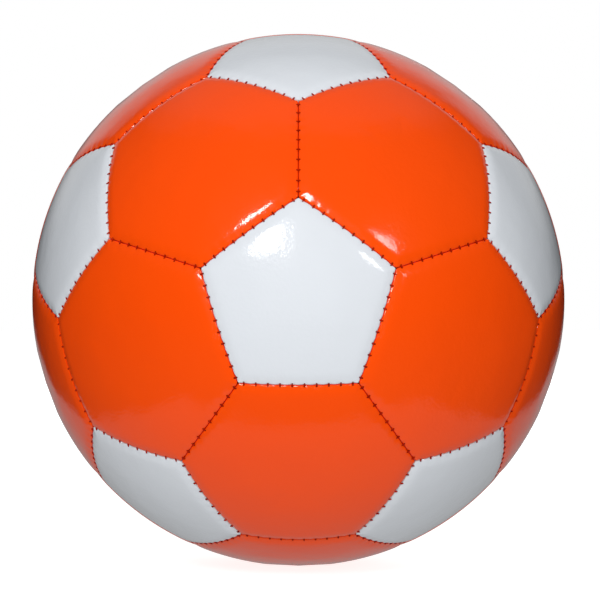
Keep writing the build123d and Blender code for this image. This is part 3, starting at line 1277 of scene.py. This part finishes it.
@dataclass(frozen=True)
class Studio:
    """Pale floor, soft lights and camera.

    Attributes:
        ball_radius: The ball's radius.
        floor_size: Side of the floor.
        floor_grey: Brightness of the floor's own colour.
        floor_glow: Strength of the floor's own light.
        camera_distance: Distance from the camera to the ball's centre.
        lens: Focal length in millimetres.
        sensor_width: Width of the camera's sensor in millimetres.
        shift_x: Sideways shift of the picture, as a share of its width.
        low_fill: Strength of the fill light from straight below.
        high_fill: Strength of the fill light from straight above.
        side_fill: Strength of the fill light from all round.
        room: Brightness of the dark room in reflections.
        ceiling: Brightness of the ceiling in reflections.
        back_wall: Brightness of the back wall in reflections.
        table: Brightness of the table in reflections.
        table_front: How far the table reaches to the front, for each metre below the ball's centre.
        table_side: How far the table reaches to each side, for each metre below the ball's centre.
    """

    ball_radius: float
    floor_size: float = 12.0
    floor_grey: float = 0.5
    floor_glow: float = 0.86
    camera_distance: float = 0.806
    lens: float = 115.9
    sensor_width: float = 36.0
    shift_x: float = 0.0027
    low_fill: float = 0.88
    high_fill: float = 0.5
    side_fill: float = 0.035
    room: float = 0.006
    ceiling: float = 0.17
    back_wall: float = 0.5
    table: float = 0.3
    table_front: float = 0.76
    table_side: float = 1.48

    def build(self) -> None:
        """Sets up the floor, the world, the lights and the camera."""
        self._floor()
        self._world()
        self._lights()
        self._camera()
        bpy.context.scene.view_settings.view_transform = "Standard"

    def _floor(self) -> None:
        """Lays a wide pale floor under the ball. In reflections, the world's own table stands for it."""
        start_modelling()
        bpy.ops.mesh.primitive_plane_add(size=self.floor_size, location=(0, 0, -self.ball_radius))
        floor = bpy.context.object
        floor.name = "floor"
        material, _, shader = new_material("pale_floor")
        shader.inputs["Base Color"].default_value = (self.floor_grey,) * 3 + (1,)
        shader.inputs["Roughness"].default_value = 0.9
        shader.inputs["Specular IOR Level"].default_value = 0.0
        shader.inputs["Emission Color"].default_value = (1, 1, 1, 1)
        shader.inputs["Emission Strength"].default_value = self.floor_glow
        dress(floor, material)
        floor.visible_glossy = False
        floor.visible_diffuse = False

    def _world(self) -> None:
        """Surrounds the ball with a dim studio: fill light, pale ceiling and back wall, pale table."""
        world = bpy.data.worlds.new("studio")
        bpy.context.scene.world = world
        world.cycles.sampling_method = "NONE"
        world.use_nodes = True
        world.node_tree.nodes.clear()
        graph = NodeGraph(world.node_tree)
        direction = graph.add("ShaderNodeTexCoord").outputs["Generated"]
        axes = graph.add("ShaderNodeSeparateXYZ", {0: direction}).outputs
        ray = graph.add("ShaderNodeLightPath").outputs
        downward = graph.math("MULTIPLY", axes["Z"], -1.0)
        from_above = graph.math("MULTIPLY", graph.math("MAXIMUM", axes["Z"], 0.0), self.high_fill)
        from_below = graph.math("MULTIPLY", graph.math("MAXIMUM", downward, 0.0), self.low_fill)
        fill = graph.math("ADD", graph.math("MAXIMUM", from_above, from_below), self.side_fill)
        lit = graph.mix_value(ray["Is Glossy Ray"], fill, self._reflected(graph, axes))
        strength = graph.mix_value(ray["Is Camera Ray"], lit, 1.0)
        backdrop = graph.add("ShaderNodeBackground", {"Color": (1, 1, 1, 1), "Strength": strength})
        graph.add("ShaderNodeOutputWorld", {"Surface": backdrop.outputs[0]})

    def _reflected(self, graph: NodeGraph, axes: bpy.types.NodeOutputs) -> bpy.types.NodeSocket:
        """Adds what the glossy skins reflect: a dark room, a pale ceiling and back wall, and a pale table.

        Args:
            graph: The world's graph.
            axes: The parts of the direction along the axes.

        Returns:
            The brightness.
        """
        height = axes["Z"]
        depth = graph.math("MULTIPLY", height, -1.0)
        upward = graph.math("ADD", height, graph.math("MULTIPLY", axes["Y"], 0.35))
        ceiling = graph.math("MULTIPLY", graph.band(upward, 0.8, 0.95), self.ceiling)
        backward = graph.band(axes["Y"], 0.55, 0.82)
        behind = graph.math("MULTIPLY", backward, graph.band(height, 0.08, 0.3))
        above = graph.math("MAXIMUM", ceiling, graph.math("MULTIPLY", behind, self.back_wall))
        front_edge = graph.math("ADD", axes["Y"], graph.math("MULTIPLY", depth, self.table_front))
        widening = graph.math("MULTIPLY", axes["Y"], 0.3)
        half_width = graph.math("ADD", graph.math("MULTIPLY", depth, self.table_side), widening)
        side_edge = graph.math("SUBTRACT", half_width, graph.math("ABSOLUTE", axes["X"]))
        within_front = graph.band(front_edge, 0.0, 0.05)
        on_table = graph.math("MULTIPLY", within_front, graph.band(side_edge, 0.0, 0.05))
        below = graph.math("MULTIPLY", on_table, graph.band(depth, 0.0, 0.05))
        pale = graph.math("MAXIMUM", above, graph.math("MULTIPLY", below, self.table))
        return graph.math("ADD", pale, self.room)

    def _lights(self) -> None:
        """Hangs a soft box on the left, a smaller one on the right, and wide fills front and back."""
        lights = (
            SquareLight("soft_box", (-0.26, -1.16, 0.55), 0.27, 6.8),
            SquareLight("right_box", (0.70, -1.02, 0.44), 0.20, 1.6),
            SquareLight("front_fill", (0.0, -1.9, 0.2), 1.0, 14.6, reflected=False),
            SquareLight("back_fill", (0.3, 1.9, 0.6), 1.0, 26.0, reflected=False),
        )
        for light in lights:
            light.hang()

    def _camera(self) -> None:
        """Places the camera level with the ball's centre, in front of the front pentagon."""
        bpy.ops.object.camera_add(location=(0, -self.camera_distance, 0), rotation=(pi / 2, 0, 0))
        camera = bpy.context.object
        camera.data.lens = self.lens
        camera.data.sensor_width = self.sensor_width
        camera.data.shift_x = self.shift_x
        bpy.context.scene.camera = camera


def main() -> None:
    """Builds the ball's visible pieces, dresses every piece and sets up the studio."""
    logging.basicConfig(level=logging.INFO, format="%(message)s")
    radius = (CAD_BOX[1][2] - CAD_BOX[0][2]) / 2
    layout = BallLayout(radius)
    groups = EffectGroups.build()
    cover = Cover(layout)
    cover.build()
    # Each skin's second colour serves its random blotches and the painted shade in the groove.
    white = CoatedSkin("white_coated_skin", (0.72, 0.755, 0.80, 1), (0.60, 0.58, 0.58, 1))
    orange = CoatedSkin(
        "orange_coated_skin", (0.96, 0.077, 0.0015, 1), (0.80, 0.013, 0.0005, 1),
        # Needle holes of the orange skin: the thread's red with painted shade of the hole.
        hole_thread_and_shade_colour=(0.34, 0.007, 0.001, 1),
    )
    cover.dress(white.material(groups), orange.material(groups))
    sewing = Sewing(layout)
    sewing.build()
    sewing.dress(WaxedThread().material(groups))
    Inside(groups).dress()
    Studio(radius).build()


if __name__ == "__main__":
    main()
